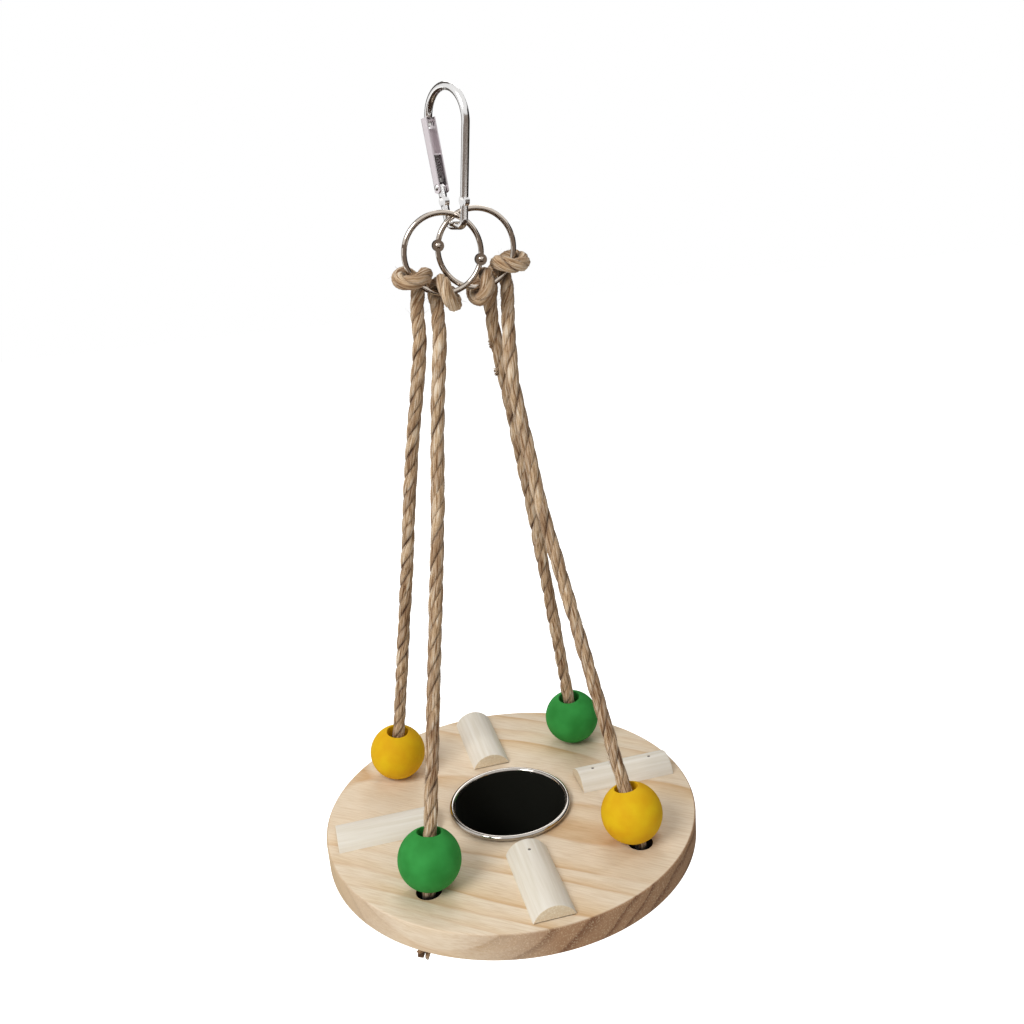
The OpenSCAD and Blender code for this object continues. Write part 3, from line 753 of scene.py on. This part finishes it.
def makePineBoard():
    material = newMaterial("sandedPine")
    along, across, under = board["heart"]
    centre = (along, across, board["top"] - under)
    heart = grainPlace(material, board["grainTurn"], centre, board["grainSlope"])
    noise = grainNoise(material, heart, board["patterns"])
    # years of growth are rings round the heart, moved a little by a slow noise
    shifted = addNode(
        material,
        "VectorMath",
        {"operation": "MULTIPLY_ADD", 1: board["wanderBy"]},
        {0: noise["wander"].outputs["Color"], 2: heart},
    )
    fromHeart = addNode(
        material, "VectorMath", {"operation": "MULTIPLY", 1: (0.0, 1.0, 1.0)}, {0: shifted}
    )
    reach = addNode(material, "VectorMath", {"operation": "LENGTH"}, {0: fromHeart})
    years = addNode(
        material, "Math", {"operation": "DIVIDE", 1: board["ringWidth"]}, {0: reach.outputs["Value"]}
    )
    year = addNode(material, "Math", {"operation": "FRACT"}, {0: years})
    bands = rampStops(
        addNode(material, "ValToRGB", links={"Fac": year}),
        [(0.0, board["pale"]), (0.3, board["pale"]), (0.72, board["warm"]), (0.91, board["late"]),
         (1.0, board["pale"])],
    )
    strength = addNode(
        material,
        "MapRange",
        {"From Min": 0.38, "From Max": 0.62, "To Min": 0.25, "To Max": 0.9},
        {"Value": noise["fade"]},
    )
    banded = addNode(
        material, "Mix", {"data_type": "RGBA", 6: tint(board["pale"])}, {0: strength, 7: bands}
    )
    streaks = rampStops(
        addNode(material, "ValToRGB", links={"Fac": noise["fine"]}),
        [(0.3, board["streak"]), (0.6, "#ffffff")],
    )
    flat = addNode(
        material,
        "Mix",
        {"data_type": "RGBA", "blend_type": "MULTIPLY", 0: 0.7},
        {6: banded.outputs[2], 7: streaks},
    )
    endBands = rampStops(
        addNode(material, "ValToRGB", links={"Fac": year}),
        [(0.0, board["end"]), (0.55, board["end"]), (0.9, board["endDark"]), (1.0, board["end"])],
    )
    poreShare = addNode(
        material,
        "MapRange",
        {"From Min": 0.52, "From Max": 0.68, "To Min": 0.0, "To Max": 0.6},
        {"Value": noise["pores"]},
    )
    porous = addNode(
        material, "Mix", {"data_type": "RGBA", 7: tint(board["endPore"])}, {0: poreShare, 6: endBands}
    )
    # the left-hand end, which faces the key light, is painted paler than the other end: painted light
    out = runOut(material, board["grainTurn"])
    litEnd = addNode(
        material,
        "MapRange",
        {"From Min": -0.1, "From Max": -0.6, "To Min": 0.0, "To Max": 0.75},
        {"Value": out.outputs["Value"]},
    )
    ends = addNode(
        material,
        "Mix",
        {"data_type": "RGBA", 7: tint(board["endLitPale"])},
        {0: litEnd, 6: porous.outputs[2]},
    )
    square = addNode(material, "Math", {"operation": "ABSOLUTE"}, {0: out.outputs["Value"]})
    endShare = addNode(material, "MapRange", {"From Min": 0.12, "From Max": 0.6}, {"Value": square})
    whole = addNode(
        material, "Mix", {"data_type": "RGBA"}, {0: endShare, 6: flat.outputs[2], 7: ends.outputs[2]}
    )
    rough = addNode(material, "Math", {"operation": "ADD"}, {0: noise["fine"], 1: noise["pores"]})
    bump = addNode(material, "Bump", {"Strength": 0.2, "Distance": 0.0002}, {"Height": rough})
    surface = addNode(
        material,
        "BsdfPrincipled",
        {"Roughness": 0.66, "Specular IOR Level": 0.3, "IOR": 1.5},
        {"Base Color": whole.outputs[2], "Normal": bump},
    )
    return finishSurface(material, surface)


def makeDrilledWood():
    # the wall of a drilled hole, painted nearly black as the shade deep inside it
    material = newMaterial("drilledPineHoleShade")
    place = addNode(material, "TexCoord")
    settings = {"Scale": board["drillMarks"], "Detail": 2.0}
    rings = addNode(material, "TexNoise", settings, {"Vector": place.outputs["Object"]})
    tones = rampStops(
        addNode(material, "ValToRGB", links={"Fac": rings}),
        [(0.35, board["drilled"][0]), (0.7, board["drilled"][1])],
    )
    surface = addNode(material, "BsdfPrincipled", {"Roughness": 0.9}, {"Base Color": tones})
    return finishSurface(material, surface)


def makeBoard():
    middle = board["top"] - board["thickness"] / 2
    addCylinder(board["radius"], board["thickness"], (0, 0, middle), sides=192)
    piece = settle("boardTop")
    pick(piece, "EDGE", lambda a, b: abs(a.z - b.z) < slack)
    bpy.ops.mesh.bevel(offset=board["round"] / 1000, segments=4)
    objectMode()
    at, through = board["ropeHoleAt"], 2.5 * board["thickness"]
    ropeHoles = [(x * at, y * at, board["ropeHole"]) for x in (-1, 1) for y in (-1, 1)]
    holes = [(0, 0, board["cupHole"])] + ropeHoles
    cutWith(piece, [drill(x, y, middle, radius, through, sides=96) for x, y, radius in holes])

    def onRim(a, b):
        for x, y, radius in holes:
            if all(abs(math.hypot(p.x - x, p.y - y) - radius) < 5 * slack for p in (a, b)):
                return abs(a.z - b.z) < slack
        return False

    pick(piece, "EDGE", onRim)
    bpy.ops.mesh.bevel(offset=board["holeRound"] / 1000, segments=2)
    objectMode()
    smoothBelow(35)
    dress(piece, "swing", "pine", [makePineBoard(), makeDrilledWood()], "platform")
    # faces in the rope holes get the second material, painted nearly black as shade
    for face in piece.data.polygons:
        x, y, z = face.center * 1000
        deepShade = any(math.hypot(x - a, y - b) < radius + 5 * slack for a, b, radius in ropeHoles)
        face.material_index = 1 if deepShade else 0


makeBoard()
print("board made")

# Half-round perches of sanded poplar: pale with faint streaks, warmer and porous at the ends; two of
# them show their nails
perch = {
    "width": 17.2,
    "height": 6,
    "length": 42.5,
    "inner": 33,
    "arc": 9.163,
    "soft": 0.45,
    # node, turn in degrees, sideways shift as a share of the width, nails as shares of the length
    "places": {
        "perchRight": ("perch_right", 0, 0.33, (0.17, 0.8)),
        "perchBack": ("perch_back", 90, 0.03, ()),
        "perchLeft": ("perch_left", 180, -0.05, ()),
        "perchFront": ("perch_front", 270, -0.1, (0.17,)),
    },
    "recess": 0.7,
    "recessDepth": 0.75,
    "pale": "#e5ddcf",
    "shade": "#ddd4c3",
    "high": "#ebe5d9",
    "end": "#dac6a6",
    "endPore": "#e8dac1",
    "patterns": {"streak": ((0.025, 0.55, 0.55), 3.0, 0.55), "pores": ((1.4, 1.4, 1.4), 2.0, 0.7)},
}


def makePerchWood(turn):
    material = newMaterial("sandedPoplar%d" % turn)
    place = grainPlace(material, turn, (0, 0, board["top"]))
    noise = grainNoise(material, place, perch["patterns"])
    colour = rampStops(
        addNode(material, "ValToRGB", links={"Fac": noise["streak"]}),
        [(0.34, perch["shade"]), (0.52, perch["pale"]), (0.7, perch["high"])],
    )
    ends = rampStops(
        addNode(material, "ValToRGB", links={"Fac": noise["pores"]}),
        [(0.45, perch["end"]), (0.7, perch["endPore"])],
    )
    square = addNode(
        material, "Math", {"operation": "ABSOLUTE"}, {0: runOut(material, turn).outputs["Value"]}
    )
    endShare = addNode(material, "MapRange", {"From Min": 0.6, "From Max": 0.85}, {"Value": square})
    whole = addNode(material, "Mix", {"data_type": "RGBA"}, {0: endShare, 6: colour, 7: ends})
    ridges = addNode(
        material, "Bump", {"Strength": 0.25, "Distance": 0.0005}, {"Height": noise["streak"]}
    )
    surface = addNode(
        material,
        "BsdfPrincipled",
        {"Roughness": 0.7, "Specular IOR Level": 0.25, "IOR": 1.5},
        {"Base Color": whole.outputs[2], "Normal": ridges},
    )
    return finishSurface(material, surface)


def makePerch():
    # modelled once, along X: a round rod cut flat, its ends' edges eased
    middle = (perch["inner"] + perch["length"] / 2, 0, board["top"] + perch["height"] - perch["arc"])
    addCylinder(perch["arc"], perch["length"], middle, sides=128, rotation=(0, math.pi / 2, 0))
    piece = settle("perch")
    editAll()
    bpy.ops.mesh.bisect(
        plane_co=metres(0, 0, board["top"]), plane_no=(0, 0, 1), use_fill=True, clear_inner=True
    )
    objectMode()
    ends = (perch["inner"], perch["inner"] + perch["length"])
    pick(piece, "EDGE", lambda a, b: any(max(abs(a.x - x), abs(b.x - x)) < slack for x in ends))
    bpy.ops.mesh.bevel(offset=perch["soft"] / 1000, segments=3)
    objectMode()
    return piece


def placePerches():
    first = makePerch()
    top = board["top"] + perch["height"]
    for name, (node, turn, shift, nails) in perch["places"].items():
        copy = copyOf(first)
        angle = math.radians(turn)
        across = shift * perch["width"]
        copy.rotation_euler = (0, 0, angle)
        copy.location = metres(-across * math.sin(angle), across * math.cos(angle), 0)
        hold(copy)
        piece = settle(name)
        drills = []
        for share in nails:
            along = perch["inner"] + share * perch["length"]
            x = along * math.cos(angle) - across * math.sin(angle)
            y = along * math.sin(angle) + across * math.cos(angle)
            drills.append(drill(x, y, top, perch["recess"], 2 * perch["recessDepth"], sides=24))
        cutWith(piece, drills)
        smoothBelow(35)
        dress(piece, "swing", "cream_wood", [makePerchWood(turn)], node)
    bpy.data.objects.remove(first)


placePerches()
print("perches placed")

# Turned beads: beech stained through and left matt, so no highlight, only a slightly mottled colour
bead = {
    "radius": 12.5,
    "around": 72,  # points round it, and round its section before the bore is cut
    "bore": 4.75,
    "mouth": 0.6,
    "gap": 0.3,
    "leanShare": 0.7,
    "green": "#389745",
    "greenDeep": "#2d8437",
    "yellow": "#e4ba16",
    "yellowDeep": "#dca510",
    # spots in a metre: the mottle is 8 mm wide and the grit 1 mm
    "mottle": 120,
    "grit": 900,
}


def makeStainedWood(name, colour, deep):
    material = newMaterial(name)
    place = addNode(material, "TexCoord")
    mottle = addNode(
        material,
        "TexNoise",
        {"Scale": bead["mottle"], "Detail": 2.0, "Roughness": 0.45},
        {"Vector": place.outputs["Object"]},
    )
    tones = rampStops(addNode(material, "ValToRGB", links={"Fac": mottle}), [(0.3, deep), (0.66, colour)])
    grit = addNode(
        material, "TexNoise", {"Scale": bead["grit"], "Detail": 2.0}, {"Vector": place.outputs["Object"]}
    )
    bump = addNode(material, "Bump", {"Strength": 0.2, "Distance": 0.0002}, {"Height": grit})
    surface = addNode(
        material,
        "BsdfPrincipled",
        {"Roughness": 0.75, "Specular IOR Level": 0.15, "IOR": 1.5},
        {"Base Color": tones, "Normal": bump},
    )
    return finishSurface(material, surface)


greenBead = makeStainedWood("greenStainedBeech", bead["green"], bead["greenDeep"])
yellowBead = makeStainedWood("yellowStainedBeech", bead["yellow"], bead["yellowDeep"])


def makeBead():
    # a ring of vertices cut down to the bead's section, closed by the bore's wall, eased and spun
    selectNone()
    bpy.ops.mesh.primitive_circle_add(
        vertices=bead["around"], radius=bead["radius"] / 1000, rotation=(math.pi / 2, 0, 0)
    )
    piece = settle("bead")
    editAll()
    bpy.ops.mesh.bisect(plane_co=metres(bead["bore"], 0, 0), plane_no=(1, 0, 0), clear_inner=True)
    objectMode()
    pick(piece, "VERT", lambda p: abs(p.x - bead["bore"]) < slack)
    bpy.ops.mesh.edge_face_add()
    bpy.ops.mesh.bevel(offset=bead["mouth"] / 1000, segments=4, affect="VERTICES")
    bpy.ops.mesh.select_all(action="SELECT")
    bpy.ops.mesh.spin(steps=bead["around"], angle=2 * math.pi, axis=(0, 0, 1), center=(0, 0, 0))
    bpy.ops.mesh.select_all(action="SELECT")
    bpy.ops.mesh.remove_doubles(threshold=0.00001)
    bpy.ops.mesh.normals_make_consistent(inside=False)
    objectMode()
    return piece


def placeBeads():
    first = makeBead()
    stains = {"yellow": yellowBead, "green": greenBead}
    for name, node, fall, stain in (
        ("beadBackLeft", "bead_back_left", "backLeft", "yellow"),
        ("beadFrontLeft", "bead_front_left", "frontLeft", "green"),
        ("beadBackRight", "bead_back_right", "backRight", "green"),
        ("beadFrontRight", "bead_front_right", "frontRight", "yellow"),
    ):
        points = [Vector(p) for p in rope[fall]]
        heading = (points[4] - points[1]).normalized()
        lean = math.acos(heading.z) * bead["leanShare"]
        up = bead["gap"] + bead["radius"] * math.cos(math.asin(bead["bore"] / bead["radius"]) - lean)
        share = (board["top"] + up - points[1].z) / (points[2].z - points[1].z)
        centre = points[1] + share * (points[2] - points[1])
        copy = copyOf(first)
        copy.rotation_euler = (0, lean, math.atan2(heading.y, heading.x))
        copy.location = centre / 1000
        hold(copy)
        piece = settle(name)
        smoothBelow(40)
        dress(piece, node, stain + "_bead", [stains[stain]], node)
    bpy.data.objects.remove(first)


placeBeads()
print("beads placed")

# Cup: thin drawn stainless steel with a rolled rim, painted nearly black inside as the dark reflection
# and shade of its polished inside
cup = {
    "rimRadius": 25.3,
    "roll": 1.2,
    "rimUp": 1.5,
    "wallRadius": 24.7,
    "depth": 35,
    "draft": 3,
    "corner": 5,
    "sheet": 0.6,
    "steel": "#b7b1aa",
    # painted dark reflection and shade of the inside
    "inside": "#171712",
    # spots in a metre: scratches are 1.4 mm apart and clouds 17 mm wide
    "scratches": 700,
    "clouds": 60,
}


def makeCupSteel():
    # bright and hard-edged in its reflections, with fine scratches round the rim
    material = newMaterial("polishedStainless")
    place = addNode(material, "TexCoord")
    scratch = addNode(
        material,
        "TexNoise",
        {"Scale": cup["scratches"], "Detail": 3.0, "Roughness": 0.6},
        {"Vector": place.outputs["Object"]},
    )
    rough = addNode(material, "MapRange", {"To Min": 0.05, "To Max": 0.14}, {"Value": scratch})
    surface = addNode(
        material,
        "BsdfPrincipled",
        {"Base Color": tint(cup["steel"]), "Metallic": 1.0},
        {"Roughness": rough},
    )
    return finishSurface(material, surface)


def makeCupInside():
    # nearly black with only a faint sheen: painted dark reflection and shade standing for the polished
    # steel inside
    material = newMaterial("cupInsideDarkReflection")
    place = addNode(material, "TexCoord")
    cloud = addNode(
        material, "TexNoise", {"Scale": cup["clouds"], "Detail": 2.0}, {"Vector": place.outputs["Object"]}
    )
    rough = addNode(material, "MapRange", {"To Min": 0.45, "To Max": 0.65}, {"Value": cloud})
    surface = addNode(
        material,
        "BsdfPrincipled",
        {"Base Color": tint(cup["inside"]), "Specular IOR Level": 0.25, "IOR": 1.5},
        {"Roughness": rough},
    )
    return finishSurface(material, surface)


def makeCup():
    top = board["top"] + cup["rimUp"]
    low = board["top"] - cup["depth"]
    addCylinder(cup["wallRadius"], top - low, (0, 0, (top + low) / 2), sides=128)
    piece = settle("cupShell")
    pick(piece, "FACE", lambda c, n: n.z > 0.9)
    bpy.ops.mesh.delete(type="FACE")
    objectMode()
    pick(piece, "VERT", lambda p: p.z < low + slack)
    share = 1 - (top - low) * math.tan(math.radians(cup["draft"])) / cup["wallRadius"]
    bpy.ops.transform.resize(value=(share, share, 1), center_override=metres(0, 0, low))
    objectMode()
    pick(piece, "EDGE", lambda a, b: max(a.z, b.z) < low + slack)
    bpy.ops.mesh.bevel(offset=cup["corner"] / 1000, segments=8)
    objectMode()
    for material in (makeCupSteel(), makeCupInside()):
        piece.data.materials.append(material)
    shell = piece.modifiers.new("sheet", "SOLIDIFY")
    shell.thickness = cup["sheet"] / 1000
    shell.offset = -1
    shell.material_offset = 1
    useModifiers(piece)
    selectNone()
    bpy.ops.mesh.primitive_torus_add(
        major_segments=128,
        minor_segments=24,
        major_radius=cup["rimRadius"] / 1000,
        minor_radius=cup["roll"] / 1000,
        location=metres(0, 0, top),
    )
    rim = settle("cupRim")
    rim.data.materials.append(piece.data.materials[0])
    joinTo(piece, rim)
    smoothBelow(50)
    dress(piece, "cup", "cup_steel", [], "cup")


makeCup()
print("cup made")

# Metals: colour, least and most roughness, spacing of the marks in millimetres, and their depth's share
metal = {
    "tumbledAluminium": ("#e4e3e2", 0.12, 0.2, 3, 0.03),  # bright, its reflections a little soft
    "brightStampedSteel": ("#e7dfe2", 0.38, 0.46, 3, 0.01),  # a pale even sheen, nothing clear in it
    "polishedNickel": ("#c9beb2", 0.05, 0.1, 4, 0.02),  # warm, with hard edges between light and dark
    "springWire": ("#8d8a88", 0.25, 0.4, 0.5, 0.05),  # grey with small glints
    "dullNailSteel": ("#6f6864", 0.35, 0.55, 0.4, 0.1),  # dark, it hardly shines
}


def makeMetal(name):
    colour, low, high, spacing, strength = metal[name]
    material = newMaterial(name)
    place = addNode(material, "TexCoord")
    marks = addNode(
        material,
        "TexNoise",
        {"Scale": 1000 / spacing, "Detail": 3.0, "Roughness": 0.6},
        {"Vector": place.outputs["Object"]},
    )
    rough = addNode(material, "MapRange", {"To Min": low, "To Max": high}, {"Value": marks})
    bump = addNode(material, "Bump", {"Strength": strength, "Distance": 0.0001}, {"Height": marks})
    surface = addNode(
        material,
        "BsdfPrincipled",
        {"Base Color": tint(colour), "Metallic": 1.0},
        {"Roughness": rough, "Normal": bump},
    )
    return finishSurface(material, surface)


metals = {name: makeMetal(name) for name in metal}

# Coil spring between the gate and its pusher
spring = {
    "from": (-2.987, 6.405, -32.15),
    "along": (-0.0614, 0.1317, 0.9894),
    "first": 3.4,
    "rise": 7.6,
    "turns": 8,
    "turnSteps": 24,
    "coil": 1.0,
    "wire": 0.2,
}


def makeSpring():
    # one round of wire, carried up the coil
    selectNone()
    bpy.ops.mesh.primitive_circle_add(
        vertices=10,
        radius=spring["wire"] / 1000,
        location=metres(spring["coil"], 0, spring["first"]),
        rotation=(math.pi / 2, 0, 0),
    )
    piece = settle("gateSpring")
    coil = piece.modifiers.new("coil", "SCREW")
    coil.axis = "Z"
    coil.angle = 2 * math.pi * spring["turns"]
    coil.screw_offset = spring["rise"] / 1000
    coil.steps = coil.render_steps = spring["turnSteps"] * spring["turns"]
    coil.use_normal_calculate = True
    useModifiers(piece)
    editAll()
    bpy.ops.mesh.fill_holes(sides=0)
    bpy.ops.mesh.normals_make_consistent(inside=False)
    objectMode()
    piece.rotation_mode = "QUATERNION"
    piece.rotation_quaternion = Vector((0, 0, 1)).rotation_difference(Vector(spring["along"]))
    piece.location = metres(*spring["from"])
    settle()
    smoothBelow(60)
    dress(piece, "gate", "spring_steel", [metals["springWire"]], "gate_spring")


makeSpring()

# CAD solids that keep their shape get their metal
solids = {
    "tumbledAluminium": ["hook_frame", "gate_rivet"],
    "brightStampedSteel": ["hook_gate"],
    "polishedNickel": [a + "_ring_" + b for a in ("left", "right") for b in ("lower", "upper", "pin")],
    "springWire": ["gate_pusher"],
    "dullNailSteel": ["perch_nails"],
}
for name, nodes in solids.items():
    for node in nodes:
        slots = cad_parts[node].data.materials
        slots.clear()
        slots.append(metals[name])
print("metals set")

# Studio: pale floor well under the board, white surround, a soft key from the left, and dark screens
# that show in the metals
studio = {
    "floor": -480,
    "floorSize": 6000,
    "floorColour": "#e8e6e2",
    "floorGlow": 0.86,
    "surround": 0.5,
    "lamps": (
        ("key", (-900, -650, 750), 700, 12.8),
        ("back", (300, 900, 700), 700, 3.4),
    ),
    "screenRadius": 1200,
    # the arc of each screen in degrees from +X, its top, its colour, and whether it dims the light too
    "screens": {
        "screenLow": (-184, -146, -90, "#897d74", False),
        "screenBrown": (-146, -28, 160, "#897d74", False),
        "screenDark": (-28, 60, 400, "#26211d", True),
        "screenBehind": (60, 140, 2200, "#55504b", False),
    },
    "underRadius": 1000,
    "underLevel": -465,
    "underColour": "#3f3127",
    "lookAt": (0, 0, -200),
}


def makeFloor():
    material = newMaterial("paleFloor")
    path = addNode(material, "LightPath")
    seen = addNode(
        material,
        "Math",
        {"operation": "MAXIMUM"},
        {0: path.outputs["Is Camera Ray"], 1: path.outputs["Is Glossy Ray"]},
    )
    matt = addNode(material, "BsdfDiffuse", {"Color": tint(studio["floorColour"])})
    glow = addNode(material, "Emission", {"Color": tint("#ffffff"), "Strength": studio["floorGlow"]})
    both = addNode(material, "AddShader", links={0: matt, 1: glow})
    mix = addNode(material, "MixShader", links={0: seen, 1: matt, 2: both})
    finishSurface(material, mix)
    selectNone()
    place = metres(0, 0, studio["floor"])
    bpy.ops.mesh.primitive_plane_add(size=studio["floorSize"] / 1000, location=place)
    floor = settle("floor")
    floor.data.materials.append(material)


def hangScreen(thing, colour, dims=False):
    material = newMaterial(thing.name + "Cloth")
    finishSurface(material, addNode(material, "Emission", {"Color": tint(colour), "Strength": 1.0}))
    thing.data.materials.append(material)
    thing.visible_camera = False
    thing.visible_diffuse = dims
    thing.visible_shadow = False


def makeScreens():
    for name, (first, last, top, colour, dims) in studio["screens"].items():
        height = top - studio["floor"]
        middle = (0, 0, studio["floor"] + height / 2)
        addCylinder(studio["screenRadius"], height, middle, sides=180, end_fill_type="NOTHING")
        thing = settle(name)
        pick(thing, "FACE", lambda c, n: not first < math.degrees(math.atan2(c.y, c.x)) < last)
        bpy.ops.mesh.delete(type="FACE")
        objectMode()
        hangScreen(thing, colour, dims)
    selectNone()
    bpy.ops.mesh.primitive_circle_add(
        vertices=64,
        radius=studio["underRadius"] / 1000,
        fill_type="NGON",
        location=metres(0, 0, studio["underLevel"]),
    )
    hangScreen(settle("screenUnder"), studio["underColour"])


def makeLights():
    for name, place, size, power in studio["lamps"]:
        lamp = bpy.data.lights.new(name, "AREA")
        lamp.shape = "DISK"
        lamp.size = size / 1000
        lamp.energy = power
        thing = bpy.data.objects.new(name, lamp)
        scene.collection.objects.link(thing)
        thing.location = metres(*place)
        aim = metres(*studio["lookAt"]) - thing.location
        thing.rotation_mode = "QUATERNION"
        thing.rotation_quaternion = aim.to_track_quat("-Z", "Y")
    world = bpy.data.worlds.new("surround")
    world.use_nodes = True
    world.node_tree.nodes.clear()
    path = addNode(world, "LightPath")
    first = addNode(
        world,
        "Math",
        {"operation": "MAXIMUM"},
        {0: path.outputs["Is Camera Ray"], 1: path.outputs["Is Glossy Ray"]},
    )
    seen = addNode(
        world, "Math", {"operation": "MAXIMUM"}, {0: first, 1: path.outputs["Is Transmission Ray"]}
    )
    lit = addNode(world, "Background", {"Color": tint("#ffffff"), "Strength": studio["surround"]})
    white = addNode(world, "Background", {"Color": tint("#ffffff"), "Strength": 1.0})
    mix = addNode(world, "MixShader", links={0: seen, 1: lit, 2: white})
    addNode(world, "OutputWorld", links={"Surface": mix})
    scene.world = world


makeFloor()
makeScreens()
makeLights()
print("studio set")
